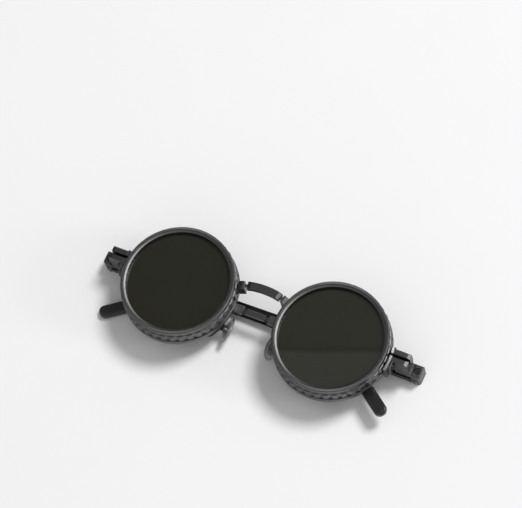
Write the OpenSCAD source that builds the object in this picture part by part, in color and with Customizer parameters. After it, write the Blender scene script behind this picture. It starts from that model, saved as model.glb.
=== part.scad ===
// Round sunglasses with adjustable tint, lying folded on their temples, lenses up.
// Each lens cell has a fixed polarising lens in the rim and a second one in a scalloped
// bezel that turns a quarter turn on the rim's neck, from clear to dark.
// Millimetres. +Z is the way the lenses face, +Y is up on the wearer, Z = 0 is the table.

/* [Lens cells] */
// outer diameter of a bezel at its front ring
bezel_d = 50; // [48:0.1:52]
// gap between the front rings of the two bezels
bezel_gap = 21.8; // [21:0.2:26]
// height of a bezel, front to back
bezel_h = 7.2; // [7:0.1:7.6]
// width of the front ring of a bezel
front_ring_w = 1.1; // [0.9:0.05:1.3]
// width of the sloping ring that holds the front lens, inside the front ring
hold_ring_w = 0.8; // [0.7:0.05:1]
// how far the sloping ring lies behind the front ring
ring_recess = 0.3; // [0.2:0.05:0.4]
// depth of the opening before the front lens
front_lip = 2.5; // [2.2:0.1:2.6]
// how far the sloping ring covers the lens, all round
lens_cover = 0.45; // [0.35:0.05:0.55]
// width of the step that a lens rests on, all round
lens_step = 0.8; // [0.6:0.1:0.9]
// thickness of both lenses
lens_t = 1.2; // [1:0.1:1.3]
// height of the threaded rings that hold the rear lenses
ring_h = 1; // [0.8:0.1:1.1]
// radial step from a lens out to the bore that runs on the neck of the rim
bearing_step = 0.6; // [0.5:0.05:0.7]
// radial clearance between bezel and neck
running_fit = 0.05; // [0.03:0.01:0.08]
// how far the grip stands out past the front ring
grip_step = 0.5; // [0.4:0.05:0.6]
// number of scallops round the grip
scallops = 40; // [32:4:48]
// depth of a scallop
scallop_depth = 0.45; // [0.3:0.05:0.5]
// radius of the cutter that makes a scallop
scallop_r = 1.6; // [1.2:0.1:1.8]
// angle that a bezel turns from one stop to the other
tint_turn = 90; // [60:5:100]
// diameter of the stop pin
stop_pin_d = 0.7; // [0.6:0.05:0.8]
// wire diameter of the snap ring
snap_d = 0.76; // [0.7:0.02:0.8]

/* [Rims] */
// how far the rim flange stands out past the grip
flange_step = 0.2; // [0.1:0.05:0.3]
// thickness of the rim flange
flange_t = 2.6; // [2.5:0.1:3]
// gap between the turning bezel and the flange
turn_gap = 0.4; // [0.3:0.05:0.6]
// wall of the neck
neck_wall = 1.55; // [1.3:0.05:1.8]
// height of the back of the rims above the table
rim_back = 10.4; // [10.4:0.1:11]
// clearance between the bezels and the parts beside them
side_gap = 0.4; // [0.3:0.05:0.5]

/* [Bridge] */
// length of an upper lug, from the bezel towards the bar
lug_l = 2.9; // [2.6:0.1:3.2]
// height of the upper bar, across it
upper_bar_h = 3.4; // [3.1:0.1:3.6]
// height of the upper bar's middle above the line of the lens centres
upper_bar_y = 10.8; // [10.2:0.1:11.2]
// radius of the arch that the upper bar and its lugs lie on
arch_r = 32.5; // [29:0.5:37]
// thickness of the upper bar, front to back
upper_bar_t = 2.8; // [2.4:0.1:3.2]
// gap between a bar's end and its lug
lug_gap = 1.2; // [0.6:0.1:1.4]
// how far the upper bar and the endpieces lie behind the bezel fronts
bar_setback = 3.4; // [3:0.1:3.8]
// length of a lower lug, from the flange towards the bar
low_lug_l = 4.3; // [3.8:0.1:4.8]
// height of the lower bar
lower_bar_h = 2.6; // [2.2:0.1:3]
// lower edge of the lower bar
lower_bar_y = -1.1; // [-2:0.1:0]
// thickness of the lower bar, front to back
lower_bar_t = 1.9; // [1.8:0.1:2.2]
// diameter of the tenons at the ends of the upper bar
tenon_d = 1.4; // [1.2:0.1:1.6]
// diameter of the tenons at the ends of the lower bar
small_tenon_d = 1.2; // [0.8:0.1:1.4]

/* [Endpieces and hinges] */
// distance from a bezel to the hinge axis beside it
hinge_out = 11.9; // [11.6:0.1:13]
// height of the hinge centre above the line of the lens centres
hinge_y = 2.9; // [2.6:0.1:3.4]
// height of the hinge block and of the two endpiece bars together
hinge_h = 5.8; // [5.6:0.1:6.4]
// height of the tongue on a temple
tongue_h = 2.4; // [2:0.1:2.6]
// diameter of the hinge knuckle and thickness of the temple root
knuckle_d = 3.4; // [3.2:0.1:3.6]
// diameter of the hinge pin
pin_d = 1.4; // [1.2:0.1:1.6]
// slit between the two bars of an endpiece
bar_slit = 1.1; // [0.8:0.1:1.4]
// length of the slope at the outer ends of the bars
bar_bevel = 1.45; // [1:0.05:1.6]
// drop of that slope
bar_drop = 0.55; // [0.4:0.05:0.7]
// how far the arc plate stands in front of the bars
plate_rise = 0.3; // [0.2:0.05:0.4]
// width of the slope round the front of the arc plate
plate_slope = 0.7; // [0.5:0.05:0.75]
// front of the hinge block above the table
block_front = 7.8; // [7.5:0.1:8.4]
// width of the channel in front of the hinge block's screw boss
boss_gap = 0.9; // [0.6:0.1:1.2]
// depth of that channel
boss_drop = 0.45; // [0.3:0.05:0.5]
// thickness of the foot of the hinge block
foot_t = 2.4; // [2.2:0.1:2.8]

/* [Temples] */
// angle that the inner temple, the left one, lies closer to the lenses
inner_lift = 3; // [3:0.1:3.2]
// thickness of a temple blade
blade_t = 1.4; // [1.2:0.1:1.4]
// height of a temple blade
blade_h = 4.8; // [4:0.2:5]
// height of the blade's middle above the line of the lens centres
blade_y = 3.4; // [3.2:0.1:3.8]
// length of the straight part of a temple from the hinge axis
straight_l = 89; // [80:0.5:90]
// radius of the bend over the ear
bend_r = 58; // [50:1:60]
// angle of the bend over the ear
bend_a = 36; // [32:1:40]
// length of the straight end after the bend
end_l = 20; // [14:0.5:22]
// thickness of a tip sleeve
sleeve_t = 3.2; // [2.8:0.1:3.2]
// height of a tip sleeve
sleeve_h = 5.8; // [5.4:0.1:6]

/* [Nose pads] */
// distance of a pad from the middle of the glasses
pad_x = 10.6; // [10:0.1:11.4]
// height of a pad's middle, below the line of the lens centres
pad_y = -8.5; // [-9.5:0.1:-8]
// height of a pad's middle above the table
pad_z = 5; // [4.8:0.1:5.4]
// width of a pad
pad_w = 6.6; // [6:0.2:7]
// length of a pad
pad_l = 12.6; // [11:0.2:13]
// thickness of a pad
pad_t = 1.7; // [1.4:0.1:1.8]
// angle of a pad's face to the table
pad_tilt = 50; // [45:1:55]

/* [Hidden] */

$fn = 48;
ROUND = 144;               // facets of the large rings
EPS = 0.01;
SLIP = 0.05;               // clearance between fixed pieces that slide together
BLACK = [0.07, 0.07, 0.075];
STEEL = [0.55, 0.55, 0.56];
TINT = [0.17, 0.17, 0.15, 0.9];
SOFT = [0.03, 0.03, 0.03];
CLEAR = [0.75, 0.76, 0.76, 0.6];

LENS_FIT = 0.1;            // gap between a lens and its seat, all round
lens_x = (bezel_d + bezel_gap) / 2;
front_z = rim_back + flange_t + turn_gap + bezel_h;
flange_top = rim_back + flange_t;
bezel_back = flange_top + turn_gap;
bore_r = bezel_d / 2 - front_ring_w;
opening_r = bore_r - SLIP - hold_ring_w;
lens_r = opening_r + lens_cover;
seat_r = lens_r + LENS_FIT;
step_r = lens_r - lens_step;
grip_r = bezel_d / 2 + grip_step;
flange_r = grip_r + flange_step;
clear_r = grip_r + side_gap;
lens_top = front_z - front_lip;
shoulder = lens_top - lens_t - ring_h - 0.2;  // underside of the step for the front lens
neck_top = shoulder - 0.2;
bearing_r = lens_r + bearing_step;
neck_r = bearing_r - running_fit;
neck_bore_r = neck_r - neck_wall;
snap_z = (flange_top + neck_top) / 2 + 0.1;
stop_r = bearing_r + (grip_r - bearing_r) / 2 - 0.08;
stop_groove_r = stop_pin_d / 2 + 0.07;
stop_start = 90;           // angle of the stop pin at rest, from the outer side
bar_front = front_z - bar_setback;
lug_y = upper_bar_y - 1.4; // middle of an upper lug, where the arch has dropped
lug_x = lens_x - sqrt(clear_r * clear_r - lug_y * lug_y) - lug_l;
lug_a = asin(lug_x / arch_r);
lug_end_a = asin((lens_x - seat_r + 0.5) / arch_r);
bar_a = asin((lug_x - lug_gap) / arch_r);
low_lug_x = lens_x - flange_r - low_lug_l;
lower_bar_l = 2 * (low_lug_x - lug_gap);
low_front = rim_back + lower_bar_t;
hinge_x = lens_x + bezel_d / 2 + hinge_out;
axis_z = knuckle_d / 2;
hinge_lo = hinge_y - hinge_h / 2;
hinge_hi = hinge_y + hinge_h / 2;
plate_t = 1.2;             // thickness of the arc plate and of the endpiece on it
plate_out = lens_x + clear_r + plate_t;  // flat outer face of the arc plate
plate_top = bar_front - 0.3;
slit_floor = flange_top + 0.2;  // floor of the slit where it runs on through the plates
bar_end = hinge_x - axis_z - 0.8;
base_top = rim_back + 1.6;
foot_z = block_front - foot_t;
block_in = hinge_x - axis_z;
block_out = hinge_x + axis_z + 0.7;
slot_out = hinge_x + axis_z + 0.25;
slot_top = knuckle_d + 0.25;
root_gap = axis_z + 0.25;
root_l = 14;               // end of the thick root of a temple, from the hinge axis
taper_l = 20;              // end of the taper behind the root
sleeve_bend = 8.3;         // degrees of the bend that a sleeve covers
sleeve_a = bend_a - sleeve_bend;
core_h = 3.4;              // height of the blade inside a sleeve
tab_low = hinge_lo - 3.4;  // lower end of the endpiece's tab
endpiece_screw_y = hinge_lo - 1.2;
endpiece_screw_z = plate_top - 1.6;
box_r = 1.6;               // radius of the box that holds a nose pad
box_gap = 0.35;            // gap between a pad and its box
arm_r = 0.55;              // wire of a pad arm
arm_drop = 1.1;            // straight drop of a pad arm before its elbow
arm_a = 38;                // angle of a pad arm's foot below the line of the lenses
arm_foot_r = (flange_r - seat_r) / 2 - 0.1;

// puts a piece on the right or, mirrored, on the left
module right() { children(); }
module left() { mirror([1, 0, 0]) children(); }

// box between two corners, all edges bevelled
module slab(lo, hi, b) {
    s = hi - lo;
    translate(lo) intersection() {
        linear_extrude(s[2]) chamfered(s[0], s[1], b);
        translate([0, s[1], 0]) rotate([90, 0, 0]) linear_extrude(s[1]) chamfered(s[0], s[2], b);
        rotate([90, 0, 90]) linear_extrude(s[0]) chamfered(s[1], s[2], b);
    }
}

// rectangle with cut corners
module chamfered(w, h, b) {
    polygon([[b, 0], [w - b, 0], [w, b], [w, h - b], [w - b, h], [b, h], [0, h - b], [0, b]]);
}

// ring about a lens axis from its outline of [radius, height] points
module turned(points) {
    translate([lens_x, 0, 0]) rotate_extrude($fn = ROUND) polygon(points);
}

// plain tube about a lens axis
module tube(r1, r2, z1, z2) {
    turned([[r1, z1], [r2, z1], [r2, z2], [r1, z2]]);
}

// short rod along Y, centred on its place
module rod_y(r, y1, y2, x, z) {
    translate([x, y1, z]) rotate([-90, 0, 0]) cylinder(r = r, h = y2 - y1);
}

// short rod along X
module rod_x(r, x1, x2, y, z) {
    translate([x1, y, z]) rotate([0, 90, 0]) cylinder(r = r, h = x2 - x1);
}

// rim with its neck, lugs, arc plate, stop groove and snap ring groove
module rim() {
    color(BLACK) difference() {
        union() {
            turned([[neck_bore_r, seat_top()], [seat_r, seat_top()], [seat_r, rim_back],
                    [flange_r - 0.3, rim_back], [flange_r, rim_back + 0.3],
                    [flange_r, flange_top - 0.3], [flange_r - 0.3, flange_top],
                    [neck_r, flange_top], [neck_r, neck_top - 0.2], [neck_r - 0.2, neck_top],
                    [neck_bore_r, neck_top]]);
            upper_lug();
            lower_lug();
            arc_plate();
        }
        stop_groove();
        translate([lens_x, 0, snap_z]) rotate_extrude($fn = ROUND)
            translate([neck_r - snap_d / 2 - SLIP, -snap_d / 2 - 0.07]) square([2, snap_d + 0.14]);
        at_arch(lug_a) rod_x(tenon_d / 2 + SLIP, -1, 1.1, arch_r, bar_front - upper_bar_t / 2);
        rod_x(small_tenon_d / 2 + SLIP, low_lug_x - 1, low_lug_x + 1.6,
              lower_bar_y + lower_bar_h / 2, low_front - lower_bar_t / 2);
        rod_x(0.5 + SLIP, plate_out - 1, plate_out + 1, endpiece_screw_y, endpiece_screw_z);
    }
}

// top of the rear lens seat
function seat_top() = rim_back + ring_h + lens_t + 0.1;

// moves to a place on the arch, X pointing along it and Y away from its centre
module at_arch(a) {
    translate([0, upper_bar_y - arch_r, 0]) rotate([0, 0, -a]) children();
}

// stretch of the arch between two angles from the middle, its long edges bevelled
module arch_piece(a1, a2, z1) {
    b = 0.3;
    r1 = arch_r - upper_bar_h / 2;
    r2 = arch_r + upper_bar_h / 2;
    at_arch(a2) rotate([0, 0, 90]) rotate_extrude(angle = a2 - a1, $fn = 360)
        polygon([[r1 + b, z1], [r2 - b, z1], [r2, z1 + b], [r2, bar_front - b],
                 [r2 - b, bar_front], [r1 + b, bar_front], [r1, bar_front - b], [r1, z1 + b]]);
}

// cutter of the slope at an end of a bar: length l from X = 0 back, h deep at the end
module slope_cut(l, h, y1, y2) {
    translate([0, y2, 0]) rotate([90, 0, 0]) linear_extrude(y2 - y1)
        polygon([[-l, bar_front], [3 * l, bar_front - 4 * h], [3 * l, bar_front + 1], [-l, bar_front + 1]]);
}

// lug that carries the upper bar, sloping off towards the bezel
module upper_lug() {
    r1 = arch_r - upper_bar_h / 2 - 1;
    r2 = arch_r + upper_bar_h / 2 + 1;
    difference() {
        arch_piece(lug_a, lug_end_a, rim_back);
        at_arch(lug_a) translate([lug_l * 0.7, 0, 0]) slope_cut(lug_l * 0.35, 0.4, r1, r2);
        translate([lens_x, 0, flange_top]) cylinder(r = clear_r, h = front_z, $fn = ROUND);
        translate([lens_x, 0, rim_back - 1]) cylinder(r = seat_r + 0.4, h = front_z, $fn = ROUND);
    }
}

// lug that carries the lower bar
module lower_lug() {
    difference() {
        slab([low_lug_x, lower_bar_y - 0.8, rim_back + 0.4],
             [lens_x - seat_r - 0.7, lower_bar_y + lower_bar_h + 0.6, low_front], 0.25);
        translate([lens_x, 0, rim_back - 1]) cylinder(r = seat_r + 0.4, h = front_z, $fn = ROUND);
    }
}

// curved plate that carries the endpiece: flat on its outside, its front sloping off outwards
module arc_plate() {
    r = clear_r + 0.4;
    difference() {
        intersection() {
            union() {
                turned([[clear_r, rim_back], [clear_r + 2 * plate_t, rim_back],
                        [clear_r + 2 * plate_t, bar_front], [r + plate_slope, bar_front],
                        [r, bar_front + plate_rise], [clear_r, bar_front + plate_rise]]);
                tube(flange_r - 0.4, clear_r + 2 * plate_t, rim_back, flange_top);
            }
            translate([lens_x, 0, 0]) linear_extrude(front_z)
                polygon([[0, 0], bezel_d * [cos(-10.8), sin(-10.8)], bezel_d * [cos(13.2), sin(13.2)]]);
            translate([lens_x, -bezel_d / 2, 0]) cube([plate_out - lens_x, bezel_d, front_z]);
        }
        slit();
    }
}

// slit between the two bars, on through the arc plate and the tab
module slit() {
    translate([lens_x + bezel_d / 2, hinge_y - bar_slit / 2, slit_floor])
        cube([plate_out + plate_t + 1 - lens_x - bezel_d / 2, bar_slit, front_z]);
}

// arc groove in the flange that stops the bezel at both ends of its turn
module stop_groove() {
    translate([lens_x, 0, flange_top - 0.9]) rotate([0, 0, stop_start]) {
        rotate_extrude(angle = tint_turn, $fn = ROUND)
            translate([stop_r - stop_groove_r, 0]) square([2 * stop_groove_r, 2]);
        for (a = [0, tint_turn]) rotate([0, 0, a]) translate([stop_r, 0, 0])
            cylinder(r = stop_groove_r, h = 2);
    }
}

module rear_lens() {
    color(TINT) turned([[0, rim_back + ring_h + SLIP], [lens_r - 0.2, rim_back + ring_h + SLIP],
                        [lens_r, rim_back + ring_h + 0.25], [lens_r, seat_top() - 0.2],
                        [lens_r - 0.2, seat_top()], [0, seat_top()]]);
}

// threaded ring with two slots for a spanner
module rear_ring() {
    color(BLACK) difference() {
        tube(step_r, seat_r - SLIP, rim_back, rim_back + ring_h);
        for (a = [0, 180]) translate([lens_x, 0, rim_back]) rotate([0, 0, a])
            translate([step_r - 1, -0.6, -1]) cube([3, 1.2, 1.5]);
    }
}

// turning bezel: scalloped grip, bearing bore, lens seat and the hole of the stop pin
module bezel() {
    bevel = 0.35;
    r = bezel_d / 2;
    ring_z = front_z - 2.6;
    color(BLACK) difference() {
        turned([[step_r, shoulder], [step_r, lens_top - lens_t], [seat_r, lens_top - lens_t],
                [seat_r, lens_top], [bore_r, lens_top], [bore_r, front_z - 0.15],
                [bore_r + 0.15, front_z], [r - bevel, front_z], [r, front_z - bevel],
                [r, ring_z], [r - 0.3, ring_z - 0.15], [r - 0.3, ring_z - 0.45],
                [grip_r - 0.25, ring_z - 0.6], [grip_r, ring_z - 0.85],
                [grip_r, bezel_back + 0.3], [grip_r - 0.3, bezel_back],
                [bearing_r + 0.2, bezel_back], [bearing_r, bezel_back + 0.2],
                [bearing_r, shoulder]]);
        for (i = [0:scallops - 1]) translate([lens_x, 0, bezel_back - 1])
            rotate([0, 0, (i + 0.5) * 360 / scallops])
            translate([grip_r + scallop_r - scallop_depth, 0, 0])
            cylinder(r = scallop_r, h = ring_z - bezel_back + 0.7, $fn = 32);
        translate([lens_x, 0, snap_z]) rotate_extrude($fn = ROUND)
            translate([bearing_r - 1, -snap_d / 2 - SLIP])
            square([1 + snap_d / 2 + 0.03, snap_d + 2 * SLIP]);
        translate([lens_x, 0, bezel_back - 1]) rotate([0, 0, stop_start])
            translate([stop_r, 0, 0]) cylinder(r = stop_pin_d / 2, h = 1.8);
    }
}

module front_lens() {
    color(TINT) turned([[0, lens_top - lens_t], [lens_r - 0.2, lens_top - lens_t],
                        [lens_r, lens_top - lens_t + 0.2], [lens_r, lens_top - 0.2],
                        [lens_r - 0.2, lens_top], [0, lens_top]]);
}

// ring pressed into the bezel over the front lens, its front sloping down to the lens
module front_ring() {
    r = bore_r - SLIP;
    top = front_z - ring_recess;
    color(BLACK) turned([[opening_r, lens_top], [r, lens_top], [r, top],
                         [opening_r, top - 0.36 * hold_ring_w]]);
}

// split wire ring, half in the bezel and half in the neck
module snap_ring() {
    color(STEEL) translate([lens_x, 0, snap_z]) rotate([0, 0, 10])
        rotate_extrude(angle = 340, $fn = ROUND)
        translate([bearing_r - 0.02, 0]) circle(d = snap_d, $fn = 16);
}

module stop_pin() {
    color(STEEL) translate([lens_x, 0, flange_top - 0.75]) rotate([0, 0, stop_start])
        translate([stop_r, 0, 0]) cylinder(d = stop_pin_d, h = 0.75 + turn_gap + 0.75);
}

// arched bar between the upper lugs, with a slope and a tenon at each end
module bridge_upper() {
    z = bar_front - upper_bar_t / 2;
    color(BLACK) union() {
        difference() {
            arch_piece(-bar_a, bar_a, bar_front - upper_bar_t);
            for (m = [0, 1]) mirror([m, 0, 0]) at_arch(bar_a)
                slope_cut(bar_bevel, bar_drop, arch_r - upper_bar_h, arch_r + upper_bar_h);
        }
        for (m = [0, 1]) mirror([m, 0, 0]) at_arch(lug_a)
            rod_x(tenon_d / 2, -lug_gap - 1, 0.9, arch_r, z);
    }
}

module bridge_lower() {
    color(BLACK) union() {
        slab([-lower_bar_l / 2, lower_bar_y, rim_back],
             [lower_bar_l / 2, lower_bar_y + lower_bar_h, low_front], 0.3);
        rod_x(small_tenon_d / 2, -low_lug_x - 1.4, low_lug_x + 1.4,
              lower_bar_y + lower_bar_h / 2, low_front - lower_bar_t / 2);
    }
}

// two bars and a base behind them, screwed to the arc plate
module endpiece() {
    color(BLACK) difference() {
        union() {
            slab([plate_out, tab_low, rim_back], [plate_out + plate_t, hinge_hi, plate_top], 0.2);
            slab([plate_out, hinge_lo, block_front], [bar_end, hinge_hi, base_top], 0.2);
            endpiece_bar(hinge_hi - (hinge_h - bar_slit) / 2);
            endpiece_bar(hinge_lo);
        }
        slit();
        rod_x(0.5 + SLIP, plate_out - 1, plate_out + 2, endpiece_screw_y, endpiece_screw_z);
        translate([block_screw_x(), hinge_y, block_front - 1]) cylinder(r = 0.55 + SLIP, h = 2.8);
    }
}

// one of the two bars, from the arc plate to its sloping outer end
module endpiece_bar(y1) {
    h = (hinge_h - bar_slit) / 2;
    intersection() {
        translate([0, y1 + h, 0]) rotate([90, 0, 0]) linear_extrude(h)
            polygon([[plate_out, base_top - 0.6], [bar_end, base_top - 0.6],
                     [bar_end, bar_front - bar_drop], [bar_end - bar_bevel, bar_front],
                     [plate_out, bar_front]]);
        translate([plate_out, y1, base_top - 1]) rotate([90, 0, 90]) linear_extrude(bar_end - plate_out)
            polygon([[0, 0], [h, 0], [h, bar_front - base_top + 0.7],
                     [h - 0.3, bar_front - base_top + 1], [0.3, bar_front - base_top + 1],
                     [0, bar_front - base_top + 0.7]]);
    }
}

function block_screw_x() = (plate_out + block_in) / 2 + 0.6;

// flat screw head with a driver slot, on its shank; it stands on Z
module screw(head_r, head_h, shank_r, shank_l, slot_w) {
    difference() {
        union() {
            rotate_extrude() polygon([[0, 0], [head_r, 0], [head_r, head_h - 0.15],
                                      [head_r - 0.15, head_h], [0, head_h]]);
            translate([0, 0, -shank_l]) cylinder(r = shank_r, h = shank_l + EPS);
        }
        translate([-head_r - 1, -slot_w / 2, head_h * 0.5]) cube([2 * head_r + 2, slot_w, head_h]);
    }
}

module endpiece_screw() {
    color(STEEL) translate([plate_out + plate_t, endpiece_screw_y, endpiece_screw_z])
        rotate([0, 90, 0]) rotate([0, 0, 30]) screw(1.1, 0.7, 0.5, 2.1, 0.35);
}

module hinge_block() {
    color(BLACK) difference() {
        intersection() {
            union() {
                slab([plate_out + 0.9, hinge_lo, foot_z], [block_out, hinge_hi, block_front], 0.2);
                translate([block_in, hinge_lo, axis_z]) cube([block_out - block_in, hinge_h, foot_z]);
                translate([hinge_x, hinge_lo, 0]) cube([block_out - hinge_x, hinge_h, axis_z + 1]);
                rod_y(axis_z, hinge_lo, hinge_hi, hinge_x, axis_z);
            }
            block_outline();
        }
        translate([0, hinge_hi + 1, 0]) rotate([90, 0, 0]) linear_extrude(hinge_h + 2)
            polygon([[bar_end, block_front + 1], [bar_end, block_front - boss_drop],
                     [bar_end + boss_gap, block_front - boss_drop],
                     [bar_end + boss_gap + boss_drop + 1, block_front + 1]]);
        translate([0, hinge_y - tongue_h / 2 - SLIP, -1])
            cube([slot_out, tongue_h + 2 * SLIP, slot_top + 1]);
        rod_y(pin_d / 2 + 0.02, hinge_lo - 1, hinge_hi + 1, hinge_x, axis_z);
        translate([tension_x(), hinge_y, block_front - 0.7]) cylinder(r = 1.55, h = 2);
        translate([tension_x(), hinge_y, slot_top + 0.8]) cylinder(r = 0.6 + SLIP, h = 9);
        translate([block_screw_x(), hinge_y, foot_z - 1]) cylinder(r = 0.55 + SLIP, h = 9);
        translate([block_screw_x(), hinge_y, foot_z - 1]) cylinder(r = 1.3, h = 1.8);
    }
}

function tension_x() = (block_in + block_out) / 2;

// space of the hinge block: its front edges bevelled, also round the lower corner
module block_outline() {
    b = 0.4;
    translate([0, 0, -1]) hull() {
        linear_extrude(block_front - b + 1) block_plan(0);
        linear_extrude(block_front + 1) block_plan(b);
    }
}

// plan of the hinge block, pulled in by b: square corners above, a round one below
module block_plan(b) {
    c = 1.2;
    hull() {
        translate([plate_out, hinge_lo + c]) square([block_out - b - plate_out, hinge_h - b - c]);
        translate([plate_out, hinge_lo + b]) square([block_out - c - plate_out, c]);
        translate([block_out - c, hinge_lo + c]) circle(r = c - b);
    }
}

module tension_screw() {
    color(STEEL) translate([tension_x(), hinge_y, block_front - 0.7]) rotate([0, 0, 65])
        screw(1.45, 0.6, 0.6, block_front - 0.7 - slot_top - 0.9, 0.4);
}

module block_screw() {
    color(STEEL) translate([block_screw_x(), hinge_y, foot_z + 0.8]) rotate([180, 0, 0])
        rotate([0, 0, 20]) screw(1.25, 0.75, 0.55, foot_t + 0.9, 0.35);
}

module hinge_pin() {
    color(STEEL) union() {
        rod_y(pin_d / 2, hinge_lo - EPS, hinge_hi, hinge_x, axis_z);
        translate([hinge_x, hinge_lo, axis_z]) rotate([90, 0, 0])
            cylinder(r1 = 1.2, r2 = 0.9, h = 0.5);
    }
}

// places what is drawn about the hinge axis, lifted towards the lenses
module at_hinge(lift) {
    translate([hinge_x, 0, axis_z]) rotate([0, lift, 0]) children();
}

module temple(lift) {
    top = blade_y + blade_h / 2;
    low = blade_y - blade_h / 2;
    z1 = -axis_z;
    color(BLACK) at_hinge(lift) difference() {
        union() {
            rod_y(axis_z, hinge_y - tongue_h / 2, hinge_y + tongue_h / 2, 0, 0);
            translate([-root_gap - 1, hinge_y - tongue_h / 2, z1])
                cube([root_gap + 1, tongue_h, knuckle_d]);
            intersection() {
                translate([0, 0, z1 - 1]) linear_extrude(2 * knuckle_d) polygon(concat(
                    [[-root_gap, hinge_lo], [-root_gap, hinge_hi], [-root_l, hinge_hi], [-taper_l, top]],
                    arc(0, sleeve_a, blade_h / 2), arc(sleeve_a, 0, -blade_h / 2),
                    [[-taper_l, low], [-root_l, hinge_lo]]));
                translate([0, 2 * bend_r, 0]) rotate([90, 0, 0]) linear_extrude(4 * bend_r)
                    polygon([[-root_gap, z1], [-root_gap, axis_z - 0.3], [-root_gap - 0.3, axis_z],
                             [-root_l, axis_z], [-taper_l, z1 + blade_t],
                             [-straight_l - bend_r, z1 + blade_t], [-straight_l - bend_r, z1]]);
            }
            translate([0, 0, z1 + core_z()]) linear_extrude(blade_t) core_plan(0, end_l - 4);
        }
        rod_y(pin_d / 2 + 0.04, hinge_y - tongue_h, hinge_y + tongue_h, 0, 0);
    }
}

// the sleeve is thicker than the blade, so its core sits at this height in it
function core_z() = min(0.9, (sleeve_t - blade_t) / 2);

// points beside the bend over the ear, from one angle of the bend to another
function arc(a1, a2, side) = [for (i = [0:16]) let (a = 90 + a1 + (a2 - a1) * i / 16)
    [-straight_l, blade_y - bend_r] + (bend_r + side) * [cos(a), sin(a)]];

// plan of the blade inside the sleeve, with a gap round it and a length past the bend
module core_plan(g, l) {
    along = [-sin(90 + bend_a), cos(90 + bend_a)];
    polygon(concat(arc(sleeve_a - 0.3, bend_a, core_h / 2 + g),
                   [arc(0, bend_a, core_h / 2 + g)[16] + l * along,
                    arc(0, bend_a, -core_h / 2 - g)[16] + l * along],
                   arc(bend_a, sleeve_a - 0.3, -core_h / 2 - g)));
}

// moves to the end of the bend, X pointing along the straight end
module temple_end() {
    translate([-straight_l, blade_y - bend_r, 0]) rotate([0, 0, 90 + bend_a])
        translate([bend_r, 0, 0]) rotate([0, 0, 90]) children();
}

// cross-section of a tip sleeve, [across, up]
function sleeve_outline(h, t, b) = [[b - h / 2, 0], [h / 2 - b, 0], [h / 2, b], [h / 2, t - b],
                                    [h / 2 - b, t], [b - h / 2, t], [-h / 2, t - b], [-h / 2, b]];

module tip_sleeve(lift) {
    z1 = -axis_z;
    b = 0.8;
    g = 0.03;
    end = end_l - sleeve_h / 2 + 2;
    color(SOFT) at_hinge(lift) difference() {
        union() {
            translate([-straight_l, blade_y - bend_r, z1]) rotate([0, 0, 90 + sleeve_a + 0.05])
                rotate_extrude(angle = bend_a - sleeve_a - 0.05, $fn = 360) translate([bend_r, 0])
                polygon(sleeve_outline(sleeve_h, sleeve_t, b));
            temple_end() translate([-EPS, 0, z1]) rotate([90, 0, 90]) linear_extrude(end)
                polygon(sleeve_outline(sleeve_h, sleeve_t, b));
            temple_end() translate([end - 2 * EPS, 0, z1]) rotate_extrude()
                polygon([[0, 0], [sleeve_h / 2 - b, 0], [sleeve_h / 2, b],
                         [sleeve_h / 2, sleeve_t - b], [sleeve_h / 2 - b, sleeve_t], [0, sleeve_t]]);
        }
        translate([0, 0, z1 + core_z() - g]) linear_extrude(blade_t + 2 * g)
            core_plan(g, end_l - 4 + 0.1);
        tip_screw_place() translate([0, 0, -0.5]) cylinder(r = 0.95, h = 2);
    }
}

// the small screw that ties the sleeve to its core
module tip_screw_place() {
    temple_end() translate([2, 0, -axis_z + core_z() + blade_t + 0.55]) children();
}

module tip_screw(lift) {
    color(STEEL) at_hinge(lift) tip_screw_place() translate([0, 0, -0.45]) rotate([0, 0, 45])
        screw(0.9, 0.5, 0.3, 0.05, 0.3);
}

// places what is drawn on the pad's own axes: X across, Y along, Z away from the nose
module at_pad() {
    translate([pad_x, pad_y, pad_z]) rotate([0, pad_tilt, 0]) children();
}

function pad_axis_z() = pad_t / 2 + box_gap + 0.5;

module nose_pad() {
    color(CLEAR) at_pad() difference() {
        union() {
            scale([pad_w / 2, pad_l / 2, 1]) cylinder(r = 1, h = pad_t * 0.5, $fn = 56);
            scale([pad_w / 2, pad_l / 2, 1]) translate([0, 0, -pad_t * 0.5])
                cylinder(r1 = 0.82, r2 = 1, h = pad_t * 0.5 + EPS, $fn = 56);
            translate([-0.5, -0.6, 0]) cube([1, 1.2, pad_axis_z()]);
            rod_y(0.5, -0.6, 0.6, 0, pad_axis_z());
        }
        rod_y(0.3 + 0.04, -1, 1, 0, pad_axis_z());
    }
}

module pad_arm() {
    foot = (seat_r + flange_r) / 2;
    base = [lens_x - foot * cos(arm_a), -foot * sin(arm_a), rim_back];
    z0 = pad_t / 2 + box_gap;
    end = [pad_x, pad_y, pad_z] + (z0 + 2) * [sin(pad_tilt), 0, cos(pad_tilt)];
    run = end - base;
    elbow = -run[2] - arm_drop;      // radius of the elbow, which ends level with the box
    color(BLACK) union() {
        translate(base - [0, 0, 0.8]) cylinder(r = arm_foot_r, h = 0.8);
        translate(base) rotate([0, 0, atan2(run[1], run[0])]) {
            translate([0, 0, -arm_drop]) cylinder(r = arm_r, h = arm_drop - 0.2);
            translate([elbow, 0, -arm_drop]) rotate([-90, 0, 0]) rotate([0, 0, 90])
                rotate_extrude(angle = 90) translate([elbow, 0]) circle(r = arm_r);
            translate([elbow, 0, -arm_drop - elbow]) rotate([0, 90, 0])
                cylinder(r = arm_r, h = norm([run[0], run[1]]) - elbow);
        }
        translate(end) sphere(r = 0.7);
        difference() {
            at_pad() translate([0, 0, z0]) cylinder(r = box_r, h = 1.7);
            at_pad() translate([-3, -0.65, z0 - 1]) cube([6, 1.3, 2.2]);
            at_pad() rod_y(0.3 + 0.02, -3, 3, 0, pad_axis_z());
        }
    }
}

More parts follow.
